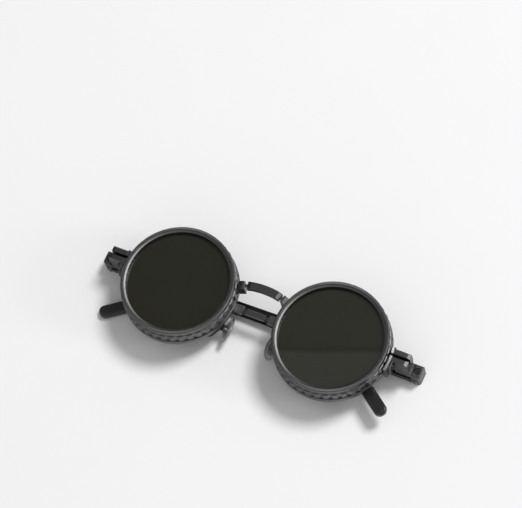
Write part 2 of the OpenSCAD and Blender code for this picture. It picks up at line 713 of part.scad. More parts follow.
module pad_screw() {
    color(STEEL) at_pad() rod_y(0.3, -box_r * 0.9, box_r * 0.9, 0, pad_axis_z());
}

right() rim();  // rim_right
left() rim();  // rim_left
right() rear_lens();  // rear_lens_right
left() rear_lens();  // rear_lens_left
right() rear_ring();  // rear_ring_right
left() rear_ring();  // rear_ring_left
right() bezel();  // bezel_right
left() bezel();  // bezel_left
right() front_lens();  // front_lens_right
left() front_lens();  // front_lens_left
right() front_ring();  // front_ring_right
left() front_ring();  // front_ring_left
right() snap_ring();  // snap_ring_right
left() snap_ring();  // snap_ring_left
right() stop_pin();  // stop_pin_right
left() stop_pin();  // stop_pin_left
bridge_upper();
bridge_lower();
right() endpiece();  // endpiece_right
left() endpiece();  // endpiece_left
right() endpiece_screw();  // endpiece_screw_right
left() endpiece_screw();  // endpiece_screw_left
right() hinge_block();  // hinge_block_right
left() hinge_block();  // hinge_block_left
right() tension_screw();  // tension_screw_right
left() tension_screw();  // tension_screw_left
right() block_screw();  // block_screw_right
left() block_screw();  // block_screw_left
right() hinge_pin();  // hinge_pin_right
left() hinge_pin();  // hinge_pin_left
right() temple(0);  // temple_right
left() temple(inner_lift);  // temple_left
right() tip_sleeve(0);  // tip_sleeve_right
left() tip_sleeve(inner_lift);  // tip_sleeve_left
right() tip_screw(0);  // tip_screw_right
left() tip_screw(inner_lift);  // tip_screw_left
right() pad_arm();  // pad_arm_right
left() pad_arm();  // pad_arm_left
right() pad_screw();  // pad_screw_right
left() pad_screw();  // pad_screw_left
right() nose_pad();  // nose_pad_right
left() nose_pad();  // nose_pad_left
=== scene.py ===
"""Looks of round sunglasses with adjustable tint, folded on their temples with the lenses up.

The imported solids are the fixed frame. This script dresses them, replaces the turned bezels and
their lens rings, the lenses, the soft tips and the nose pads by finer surfaces of the same outer
size, and sets the table, the lamps and the camera. Sizes are in millimetres here and become metres
where a mesh is made. +Z is the way the lenses face, +Y is up on the wearer, Z = 0 is the table.
"""

from __future__ import annotations

import logging
from dataclasses import dataclass
from enum import Enum
from typing import Optional, Sequence, Union

import bmesh
import bpy
import numpy as np
from mathutils import Matrix, Vector


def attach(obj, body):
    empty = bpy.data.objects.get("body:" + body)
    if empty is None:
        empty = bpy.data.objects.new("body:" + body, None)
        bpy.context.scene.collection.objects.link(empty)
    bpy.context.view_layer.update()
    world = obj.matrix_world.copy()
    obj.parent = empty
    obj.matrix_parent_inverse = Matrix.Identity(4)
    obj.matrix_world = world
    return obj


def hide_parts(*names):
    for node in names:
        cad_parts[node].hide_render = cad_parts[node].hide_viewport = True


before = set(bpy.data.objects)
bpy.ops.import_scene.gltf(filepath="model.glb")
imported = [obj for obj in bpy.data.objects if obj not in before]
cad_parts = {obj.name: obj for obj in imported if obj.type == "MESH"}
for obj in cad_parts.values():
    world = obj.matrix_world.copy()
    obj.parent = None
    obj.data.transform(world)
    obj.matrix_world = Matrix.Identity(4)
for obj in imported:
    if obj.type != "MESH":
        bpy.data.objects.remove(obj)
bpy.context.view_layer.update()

LOG = logging.getLogger("sunglasses")
MM = 0.001
UV_NAME = "surface_mm"
MERGE = 0.0005  # points closer than this are one point
THIN = 0.0002  # edges shorter than this are dissolved
CORNER_SHARE = 0.45  # part of its shorter side that a rounded corner may take with its guard
LEAST_ARC = 0.2  # part of that room that an arc takes on a side shorter than its guard
FLAT_FACE = 0.985  # cosine between face and rounded normal, above which nothing is rubbed
NOISE_RANGE = (0.3, 0.7)  # most of a noise's values lie between these
Setting = Union[float, int, bool, str, Sequence[float], bpy.types.NodeSocket, bpy.types.Node]


class Side(Enum):
    """Which half of the glasses, seen from the front of the lenses."""

    RIGHT = 1
    LEFT = -1

    def node(self, name: str) -> str:
        """Returns the name of this side's solid."""
        return f"{name}_{self.name.lower()}"

    def mirror(self, points: np.ndarray) -> np.ndarray:
        """Returns points drawn for the right side, moved to this side."""
        return points * np.array([self.value, 1.0, 1.0])


FOLD_LIFT = {Side.RIGHT: 0.0, Side.LEFT: 3.0}  # degrees, as the left temple lies over the right

# Surfaces


@dataclass
class Grid:
    """A sheet of points over two parameters, in millimetres.

    Attributes:
        points: array of rows x columns x 3.
        wrap_rows: the last row joins the first.
        wrap_columns: the last column joins the first.
        along_rows: length of the surface across the rows, for the UV map.
        along_columns: length of the surface round the columns, for the UV map.
    """

    points: np.ndarray
    wrap_rows: bool = False
    wrap_columns: bool = True
    along_rows: float = 1.0
    along_columns: float = 1.0

    def quads(self) -> tuple[np.ndarray, np.ndarray]:
        """Works out the faces: each joins two neighbouring rows between two neighbouring columns.

        Returns:
            The corner indices of every quad, and the UV of every corner.
        """
        rows, columns = self.points.shape[:2]
        index = np.arange(rows * columns).reshape(rows, columns)
        r = rows if self.wrap_rows else rows - 1
        c = columns if self.wrap_columns else columns - 1
        i, j = np.meshgrid(np.arange(r), np.arange(c), indexing="ij")
        down, right = (i + 1) % rows, (j + 1) % columns
        faces = np.stack([index[i, j], index[i, right], index[down, right], index[down, j]], -1)
        u = np.stack([j, j + 1, j + 1, j], -1) * (self.along_columns / c)
        v = np.stack([i, i, i + 1, i + 1], -1) * (self.along_rows / r)
        return faces.reshape(-1, 4), np.stack([u, v], -1).reshape(-1, 2)


def rounded(corners: Sequence[Sequence[float]], radius: float, steps: int = 4,
            guard: float = 0.03) -> np.ndarray:
    """Rounds the corners of a closed outline.

    Each corner becomes an arc that touches both its sides: the arc starts radius / tan(half the
    corner's angle) away from the corner, and is swept from one touching point to the other. A
    guard point beyond each end keeps the shading of the flat side flat.

    Args:
        corners: outline as [across, up] pairs.
        radius: radius of the arcs.
        steps: segments in an arc.
        guard: distance of the guard points from the arc.

    Returns:
        The outline as an array of n x 2, with steps + 3 points for each corner.
    """
    p = np.asarray(corners, float)
    back, ahead = np.roll(p, 1, 0) - p, np.roll(p, -1, 0) - p
    shorter = np.minimum(np.linalg.norm(back, axis=1), np.linalg.norm(ahead, axis=1))
    room = shorter * CORNER_SHARE
    back /= np.linalg.norm(back, axis=1, keepdims=True)
    ahead /= np.linalg.norm(ahead, axis=1, keepdims=True)
    half = np.arccos(np.clip((back * ahead).sum(1), -1, 1)) / 2
    reach = np.minimum(radius / np.tan(half), np.maximum(room - guard, LEAST_ARC * room))
    r = reach * np.tan(half)
    centre = p + (back + ahead) / np.linalg.norm(back + ahead, axis=1, keepdims=True) \
        * (r / np.sin(half))[:, None]
    start, end = p + back * reach[:, None] - centre, p + ahead * reach[:, None] - centre
    sweep = np.pi - 2 * half
    t = np.linspace(0, 1, steps + 1)
    from_start = np.sin(np.outer(1 - t, sweep)) / np.sin(sweep)
    from_end = np.sin(np.outer(t, sweep)) / np.sin(sweep)
    arc = centre + from_start[:, :, None] * start + from_end[:, :, None] * end
    before = p + back * (reach + guard)[:, None]
    after = p + ahead * (reach + guard)[:, None]
    return np.concatenate([before[None], arc, after[None]]).transpose(1, 0, 2).reshape(-1, 2)


def turned(outline: np.ndarray, columns: int, centre_x: float = 0.0,
           limit: Optional[np.ndarray] = None, limited: Optional[np.ndarray] = None,
           closed: bool = True) -> Grid:
    """Turns an outline of [radius, height] about a lens axis.

    A point at angle a is (centre + radius cos a, radius sin a, height). Rows that are limited take
    the smaller of their radius and the limit at that angle.

    Args:
        outline: n x 2 array of radius and height.
        columns: steps in the full turn.
        centre_x: place of the axis.
        limit: radius that cuts the limited rows, one value a column.
        limited: which rows are cut.
        closed: the outline is a loop.

    Returns:
        The turned surface.
    """
    angle = np.arange(columns) * (2 * np.pi / columns)
    radius = np.repeat(outline[:, :1], columns, axis=1)
    if limit is not None and limited is not None:
        radius[limited] = np.minimum(radius[limited], limit[None, :])
    points = np.stack([centre_x + radius * np.cos(angle), radius * np.sin(angle),
                       np.repeat(outline[:, 1:], columns, axis=1)], -1)
    steps = np.diff(np.vstack([outline, outline[:1]]) if closed else outline, axis=0)
    return Grid(points, closed, True, float(np.linalg.norm(steps, axis=1).sum()),
                float(2 * np.pi * outline[:, 0].max()))


def swept(path: np.ndarray, side: np.ndarray, up: np.ndarray, section: np.ndarray,
          wide: np.ndarray, thick: np.ndarray) -> Grid:
    """Carries a closed section along a path.

    A point is path + side * across * wide + up * height * thick, so wide and thick shrink the
    section towards the ends, where it closes to a point.

    Args:
        path: n x 3 points.
        side: n x 3 unit vectors across the path.
        up: one unit vector.
        section: m x 2 outline, across and height about the path.
        wide: n scales of the section's width.
        thick: n scales of its height.

    Returns:
        The swept surface.
    """
    points = path[:, None] + side[:, None] * (section[None, :, :1] * wide[:, None, None]) \
        + up * (section[None, :, 1:] * thick[:, None, None])
    length = float(np.linalg.norm(np.diff(path, axis=0), axis=1).sum())
    loop = float(np.linalg.norm(np.diff(section, axis=0), axis=1).sum())
    return Grid(points, False, True, length, loop)


def closing(count: int, power: float) -> tuple[np.ndarray, np.ndarray]:
    """Rounds the end of a swept piece.

    At a share t of the end's length the section keeps the root of order power of 1 - t^power, as
    the height of a rounded nose over its length.

    Args:
        count: rows in the end.
        power: 2 is a half circle, more is blunter.

    Returns:
        The shares t and the scales.
    """
    t = np.sin(np.linspace(0, np.pi / 2, count))
    return t, np.clip(1 - t ** power, 0, 1) ** (1 / power)


def make_piece(name: str, grids: Sequence[Grid], finish: "Finish", body: str,
               replaced: Sequence[str] = ()) -> bpy.types.Object:
    """Joins grids into one closed mesh whose faces point outwards and sets it on its body.

    Args:
        name: the piece's name.
        grids: its surfaces, in millimetres.
        finish: what it is made of.
        body: the moving body that it rides on.
        replaced: solids that it stands for.

    Returns:
        The new object.
    """
    points, faces, uvs, start = [], [], [], 0
    for grid in grids:
        quad, uv = grid.quads()
        points.append(grid.points.reshape(-1, 3))
        faces.append(quad + start)
        uvs.append(uv)
        start += len(points[-1])
    co, face, uv = np.concatenate(points) * MM, np.concatenate(faces), np.concatenate(uvs)
    mesh = bpy.data.meshes.new(name)
    mesh.vertices.add(len(co))
    mesh.vertices.foreach_set("co", co.ravel())
    mesh.loops.add(face.size)
    mesh.loops.foreach_set("vertex_index", face.ravel().astype(np.int32))
    mesh.polygons.add(len(face))
    mesh.polygons.foreach_set("loop_start", np.arange(0, face.size, 4, dtype=np.int32))
    mesh.update(calc_edges=True)
    layer = mesh.uv_layers.new(name=UV_NAME)
    layer.data.foreach_set("uv", uv.astype(np.float32).ravel())
    shape = bmesh.new()
    shape.from_mesh(mesh)
    bmesh.ops.remove_doubles(shape, verts=shape.verts, dist=MERGE * MM)
    bmesh.ops.dissolve_degenerate(shape, edges=shape.edges, dist=THIN * MM)
    bmesh.ops.recalc_face_normals(shape, faces=shape.faces)
    shape.to_mesh(mesh)
    shape.free()
    mesh.shade_smooth()
    mesh.materials.append(finish.material())
    piece = bpy.data.objects.new(name, mesh)
    bpy.context.scene.collection.objects.link(piece)
    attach(piece, body)
    if replaced:
        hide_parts(*replaced)
    LOG.info("%s: %d faces on %s", name, len(mesh.polygons), body)
    return piece


def dress(node: str, finish: "Finish") -> None:
    """Gives a solid of the frame its finish and reports it.

    Args:
        node: name of the solid.
        finish: what it is made of.
    """
    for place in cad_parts[node].material_slots:
        place.material = finish.material()
    LOG.info("%s: dressed in %s", node, finish.name)


# Finishes


def linear(colour: str) -> tuple[float, float, float, float]:
    """Turns an sRGB hex colour into the linear colour that a shader takes.

    Args:
        colour: such as "#1a1b1c".

    Returns:
        Red, green, blue and alpha.
    """
    value = np.array([int(colour[i:i + 2], 16) for i in (1, 3, 5)]) / 255
    value = np.where(value <= 0.04045, value / 12.92, ((value + 0.055) / 1.055) ** 2.4)
    return (float(value[0]), float(value[1]), float(value[2]), 1.0)


def lumps(size: float) -> float:
    """Returns the scale of a noise whose lumps are size millimetres across."""
    return 1 / (size * MM)


def add(tree: bpy.types.NodeTree, kind: str,
        inputs: Union[dict[str, Setting], Sequence[Setting]] = (),
        **settings: Setting) -> bpy.types.Node:
    """Adds one node with its settings and links.

    Args:
        tree: where it goes.
        kind: the node's type, without ShaderNode.
        inputs: a value, another node's output, or another node for its first output in use. They
            go by the inputs' names, or to the inputs in use in their order.
        settings: the node's own properties.

    Returns:
        The new node.
    """
    made = tree.nodes.new("ShaderNode" + kind)
    for name, value in settings.items():
        setattr(made, name, value)
    if isinstance(inputs, dict):
        pairs = [(made.inputs[name], value) for name, value in inputs.items()]
    else:
        pairs = list(zip([socket for socket in made.inputs if socket.enabled], inputs))
    for socket, value in pairs:
        if isinstance(value, bpy.types.Node):
            value = next(output for output in value.outputs if output.enabled)
        if isinstance(value, bpy.types.NodeSocket):
            tree.links.new(value, socket)
        else:
            socket.default_value = value
    return made


@dataclass(frozen=True)
class Finish:
    """What a surface is made of. Each kind of finish builds its own nodes."""

    name: str

    def material(self) -> bpy.types.Material:
        """Makes the material on the first call, and finds it again by its name later.

        Returns:
            The material.
        """
        made = bpy.data.materials.get(self.name)
        if made is None:
            made = bpy.data.materials.new(self.name)
            made.use_nodes = True
            made.node_tree.nodes.clear()
            add(made.node_tree, "OutputMaterial", {"Surface": self.build(made.node_tree)})
        return made

    def build(self, tree: bpy.types.NodeTree) -> bpy.types.Node:
        """Builds the nodes and returns the shader."""
        raise NotImplementedError

    def rubbed_edges(self, tree: bpy.types.NodeTree, radius: float, most: float,
                     full: float = 0.86) -> tuple[bpy.types.Node, bpy.types.Node]:
        """Rounds the edges in the shading, and finds them by how far that turns the normal.

        The wear rises from nothing to its most while the cosine between the face's normal and the
        rounded one falls from FLAT_FACE to full.

        Args:
            tree: where the nodes go.
            radius: of the rounding, in millimetres.
            most: wear at a full edge.
            full: cosine at a full edge.

        Returns:
            The rounded normal and the wear.
        """
        soft = add(tree, "Bevel", {"Radius": radius * MM}, samples=6)
        face = add(tree, "NewGeometry").outputs["Normal"]
        turn = add(tree, "VectorMath", (soft, face), operation="DOT_PRODUCT")
        return soft, add(tree, "MapRange", (turn, FLAT_FACE, full, 0.0, most))


@dataclass(frozen=True)
class AnodisedAluminium(Finish):
    """Aluminium, turned or milled, blasted and anodised black: a dark dyed oxide skin.

    The dye gives a near black body in uneven patches, the skin a satin sheen of its own, and the
    thin skin on sharp edges is rubbed lighter. The blasted grain is about 0.1 mm across on the
    real piece and its tool lines are 0.05 mm apart. Both are drawn coarser so that they show.

    Attributes:
        dye, clouded: the dye's two shades.
        rubbed: colour of a worn edge.
        roughness, gloss: of the skin.
        line_pitch: distance of the tool lines, none at 0.
        centre_x: place of the lens axis that the piece was turned about.
        edge, rub: radius of the rounded edges, and how far they are worn.
        turned_sheen: how far the lines stretch a highlight round the axis.
        patch, grain: size of the dye's patches and of the blasted grain.
        grain_depth, line_depth: of the grain and of the tool lines.
    """

    dye: str = "#0a0b0c"
    clouded: str = "#141516"
    rubbed: str = "#4c4d4f"
    roughness: float = 0.36
    gloss: float = 0.7
    line_pitch: float = 0.0
    centre_x: float = 0.0
    edge: float = 0.14
    rub: float = 0.8
    turned_sheen: float = 0.0
    patch: float = 5.0
    grain: float = 0.22
    grain_depth: float = 0.004
    line_depth: float = 0.003

    def build(self, tree: bpy.types.NodeTree) -> bpy.types.Node:
        """Builds dye, rubbed edges, blasted grain and tool lines.

        Args:
            tree: where the nodes go.

        Returns:
            The shader.
        """
        spot = add(tree, "TexCoord").outputs["Object"]
        cloud = add(tree, "TexNoise", {"Vector": spot, "Scale": lumps(self.patch)})
        speck = add(tree, "TexNoise", {"Vector": spot, "Scale": lumps(self.grain), "Detail": 3.0})
        soft, wear = self.rubbed_edges(tree, self.edge, self.rub)
        patchy = add(tree, "MapRange", (speck, 0.35, 0.6, 0.45, 1.0))  # wear takes the peaks
        worn = add(tree, "Math", (wear, patchy), operation="MULTIPLY")
        shade = add(tree, "MapRange", (cloud, *NOISE_RANGE, 0.0, 0.35))
        dyed = add(tree, "Mix", (shade, linear(self.dye), linear(self.clouded)), data_type="RGBA")
        colour = add(tree, "Mix", (worn, dyed, linear(self.rubbed)), data_type="RGBA")
        both = add(tree, "Math", (cloud, speck), operation="ADD")  # mostly from 0.6 to 1.4
        rough = add(tree, "MapRange", (both, 0.6, 1.4, self.roughness - 0.05,
                                       self.roughness + 0.06))
        bump = add(tree, "Bump", {"Height": speck, "Distance": self.grain_depth * MM,
                                  "Strength": 0.7, "Normal": soft})
        if self.line_pitch:
            bump = add(tree, "Bump", {"Height": self.tool_lines(tree, spot), "Strength": 0.5,
                                      "Distance": self.line_depth * MM, "Normal": bump})
        shader = add(tree, "BsdfPrincipled", {
            "Base Color": colour, "Roughness": rough, "Normal": bump, "Metallic": 0.0,
            "IOR": 1.6, "Specular IOR Level": self.gloss})
        if self.turned_sheen:
            shader.inputs["Anisotropic"].default_value = self.turned_sheen
            tangent = add(tree, "Tangent", direction_type="UV_MAP", uv_map=UV_NAME)
            tree.links.new(tangent.outputs[0], shader.inputs["Tangent"])
        return shader

    def tool_lines(self, tree: bpy.types.NodeTree, spot: bpy.types.NodeSocket) -> bpy.types.Node:
        """Draws a lathe's lines: the sine of the distance from the lens axis plus the height.

        Args:
            tree: where the nodes go.
            spot: the place on the object, in metres.

        Returns:
            The wave, from -1 to 1.
        """
        about = add(tree, "Mapping", {"Vector": spot, "Location": (-self.centre_x * MM, 0, 0)})
        flat = add(tree, "VectorMath", (about, (1, 1, 0)), operation="MULTIPLY")
        reach = add(tree, "VectorMath", (flat,), operation="LENGTH")
        height = add(tree, "SeparateXYZ", (about,)).outputs["Z"]
        way = add(tree, "Math", (reach, height), operation="ADD")
        phase = add(tree, "Math", (way, 2 * np.pi * lumps(self.line_pitch)), operation="MULTIPLY")
        return add(tree, "Math", (phase,), operation="SINE")


@dataclass(frozen=True)
class SatinCoat(Finish):
    """Spring steel strip under a satin black baked coat.

    The coat's faint orange peel breaks up its reflections, and it is thin and lighter on edges.

    Attributes:
        colour, worn: of the coat and of its edges.
        roughness: of the coat.
        peel, peel_depth: size and depth of the orange peel.
        patch: size of the patches that handling leaves duller.
        edge: radius of the rounded edges.
    """

    colour: str = "#0d0e0f"
    worn: str = "#303133"
    roughness: float = 0.34
    peel: float = 0.7
    peel_depth: float = 0.012
    patch: float = 8.0
    edge: float = 0.16

    def build(self, tree: bpy.types.NodeTree) -> bpy.types.Node:
        """Builds the coat, its peel and its thin edges.

        Args:
            tree: where the nodes go.

        Returns:
            The shader.
        """
        spot = add(tree, "TexCoord").outputs["Object"]
        peel = add(tree, "TexNoise", {"Vector": spot, "Scale": lumps(self.peel), "Detail": 1.0})
        cloud = add(tree, "TexNoise", {"Vector": spot, "Scale": lumps(self.patch)})
        soft, wear = self.rubbed_edges(tree, self.edge, 0.5)
        colour = add(tree, "Mix", (wear, linear(self.colour), linear(self.worn)), data_type="RGBA")
        rough = add(tree, "MapRange", (cloud, *NOISE_RANGE, self.roughness - 0.05,
                                       self.roughness + 0.07))
        bump = add(tree, "Bump", {"Height": peel, "Distance": self.peel_depth * MM,
                                  "Strength": 0.5, "Normal": soft})
        return add(tree, "BsdfPrincipled", {"Base Color": colour, "Normal": bump, "IOR": 1.52,
                                            "Roughness": rough})


@dataclass(frozen=True)
class Steel(Finish):
    """Small steel turned parts and wire, bright drawn or blackened in oil.

    Fine streaks from drawing or turning dull it, and blackened steel is rubbed bright on its
    edges. The streaks are about 0.02 mm wide on the real piece and drawn coarser so that they
    show.

    Attributes:
        colour, rubbed: of the metal and of its edges.
        roughness: of the metal.
        streak, streak_depth: size and depth of the streaks.
        edge: radius of the rounded edges.
    """

    colour: str = "#8d8e90"
    rubbed: str = "#b4b5b7"
    roughness: float = 0.28
    streak: float = 0.12
    streak_depth: float = 0.003
    edge: float = 0.07

    def build(self, tree: bpy.types.NodeTree) -> bpy.types.Node:
        """Builds the metal, its streaks and its rubbed edges.

        Args:
            tree: where the nodes go.

        Returns:
            The shader.
        """
        spot = add(tree, "TexCoord").outputs["Object"]
        streak = add(tree, "TexNoise", {"Vector": spot, "Scale": lumps(self.streak)})
        soft, wear = self.rubbed_edges(tree, self.edge, 0.85, full=0.85)
        colour = add(tree, "Mix", (wear, linear(self.colour), linear(self.rubbed)),
                     data_type="RGBA")
        rough = add(tree, "MapRange", (streak, *NOISE_RANGE, self.roughness - 0.06,
                                       self.roughness + 0.08))
        bump = add(tree, "Bump", {"Height": streak, "Distance": self.streak_depth * MM,
                                  "Strength": 0.5, "Normal": soft})
        return add(tree, "BsdfPrincipled", {"Base Color": colour, "Normal": bump,
                                            "Metallic": 1.0, "Roughness": rough})


@dataclass(frozen=True)
class PolarisingLens(Finish):
    """Cast lens with a polarising film inside: dark grey-green and polished, with a faint wave.

    Attributes:
        tint, clouded: the tint's two shades.
        see_through: share of the light that passes.
        wave, wave_depth: size and depth of the waviness that casting and laminating leave.
        patch: size of the tint's patches.
    """

    tint: str = "#333227"
    clouded: str = "#36352a"
    see_through: float = 0.55
    wave: float = 26.0
    wave_depth: float = 0.02
    patch: float = 14.0

    def build(self, tree: bpy.types.NodeTree) -> bpy.types.Node:
        """Builds the tint and the waviness.

        Args:
            tree: where the nodes go.

        Returns:
            The shader.
        """
        spot = add(tree, "TexCoord").outputs["Object"]
        wave = add(tree, "TexNoise", {"Vector": spot, "Scale": lumps(self.wave), "Detail": 0.0})
        cloud = add(tree, "TexNoise", {"Vector": spot, "Scale": lumps(self.patch), "Detail": 1.0})
        shade = add(tree, "MapRange", (cloud, *NOISE_RANGE))
        colour = add(tree, "Mix", (shade, linear(self.tint), linear(self.clouded)),
                     data_type="RGBA")
        bump = add(tree, "Bump", {"Height": wave, "Distance": self.wave_depth * MM,
                                  "Strength": 0.3})
        return add(tree, "BsdfPrincipled", {
            "Base Color": colour, "Normal": bump, "IOR": 1.5, "Roughness": 0.015,
            "Transmission Weight": self.see_through})


@dataclass(frozen=True)
class MouldedRubber(Finish):
    """Black rubber from a finely polished mould, dulled by handling, with a soft grazing sheen.

    Attributes:
        colour, handled: of the clean and of the handled skin.
        roughness: of the skin.
        grain, grain_depth: size and depth of the mould's grain.
        patch: size of the handled patches.
    """

    colour: str = "#0b0b0b"
    handled: str = "#121212"
    roughness: float = 0.27
    grain: float = 0.18
    grain_depth: float = 0.008
    patch: float = 4.0

    def build(self, tree: bpy.types.NodeTree) -> bpy.types.Node:
        """Builds the fine mould grain and handling marks.

        Args:
            tree: where the nodes go.

        Returns:
            The shader.
        """
        spot = add(tree, "TexCoord").outputs["Object"]
        fine = add(tree, "TexNoise", {"Vector": spot, "Scale": lumps(self.grain)})
        cloud = add(tree, "TexNoise", {"Vector": spot, "Scale": lumps(self.patch)})
        shade = add(tree, "MapRange", (cloud, 0.35, 0.7))
        colour = add(tree, "Mix", (shade, linear(self.colour), linear(self.handled)),
                     data_type="RGBA")
        rough = add(tree, "MapRange", (cloud, *NOISE_RANGE, self.roughness - 0.08,
                                       self.roughness + 0.08))
        bump = add(tree, "Bump", {"Height": fine, "Distance": self.grain_depth * MM,
                                  "Strength": 0.6})
        return add(tree, "BsdfPrincipled", {
            "Base Color": colour, "Normal": bump, "IOR": 1.52, "Roughness": rough,
            "Sheen Weight": 0.15, "Sheen Roughness": 0.5})


@dataclass(frozen=True)
class MilkySilicone(Finish):
    """Moulded silicone of a nose pad: clear but milky, so the metal core shows through faintly.

    Attributes:
        colour, clouded: its two shades.
        patch: size of the milky patches.
        skin, skin_depth: size and depth of the skin's unevenness.
    """

    colour: str = "#d4d6d2"
    clouded: str = "#c6c9c6"
    patch: float = 1.6
    skin: float = 0.5
    skin_depth: float = 0.006

    def build(self, tree: bpy.types.NodeTree) -> bpy.types.Node:
        """Builds the milky body and its smooth skin.

        Args:
            tree: where the nodes go.

        Returns:
            The shader.
        """
        spot = add(tree, "TexCoord").outputs["Object"]
        cloud = add(tree, "TexNoise", {"Vector": spot, "Scale": lumps(self.patch)})
        skin = add(tree, "TexNoise", {"Vector": spot, "Scale": lumps(self.skin), "Detail": 1.0})
        shade = add(tree, "MapRange", (cloud, *NOISE_RANGE))
        colour = add(tree, "Mix", (shade, linear(self.colour), linear(self.clouded)),
                     data_type="RGBA")
        bump = add(tree, "Bump", {"Height": skin, "Distance": self.skin_depth * MM,
                                  "Strength": 0.5})
        return add(tree, "BsdfPrincipled", {
            "Base Color": colour, "Normal": bump, "IOR": 1.41, "Roughness": 0.24,
            "Transmission Weight": 0.72})


@dataclass(frozen=True)
class PaleTable(Finish):
    """White table top under matt paint, which mirrors next to nothing.

    Attributes:
        colour, clouded: the paint's two shades.
        patch: size of its patches.
    """

    colour: str = "#f0f0f1"
    clouded: str = "#eeeeef"
    patch: float = 60.0

    def build(self, tree: bpy.types.NodeTree) -> bpy.types.Node:
        """Builds the plain top with a trace of unevenness.

        Args:
            tree: where the nodes go.

        Returns:
            The shader.
        """
        spot = add(tree, "TexCoord").outputs["Object"]
        cloud = add(tree, "TexNoise", {"Vector": spot, "Scale": lumps(self.patch), "Detail": 1.0})
        colour = add(tree, "Mix", (cloud, linear(self.colour), linear(self.clouded)),
                     data_type="RGBA")
        return add(tree, "BsdfPrincipled", {"Base Color": colour, "Roughness": 0.85,
                                            "Specular IOR Level": 0.15})


# The glasses


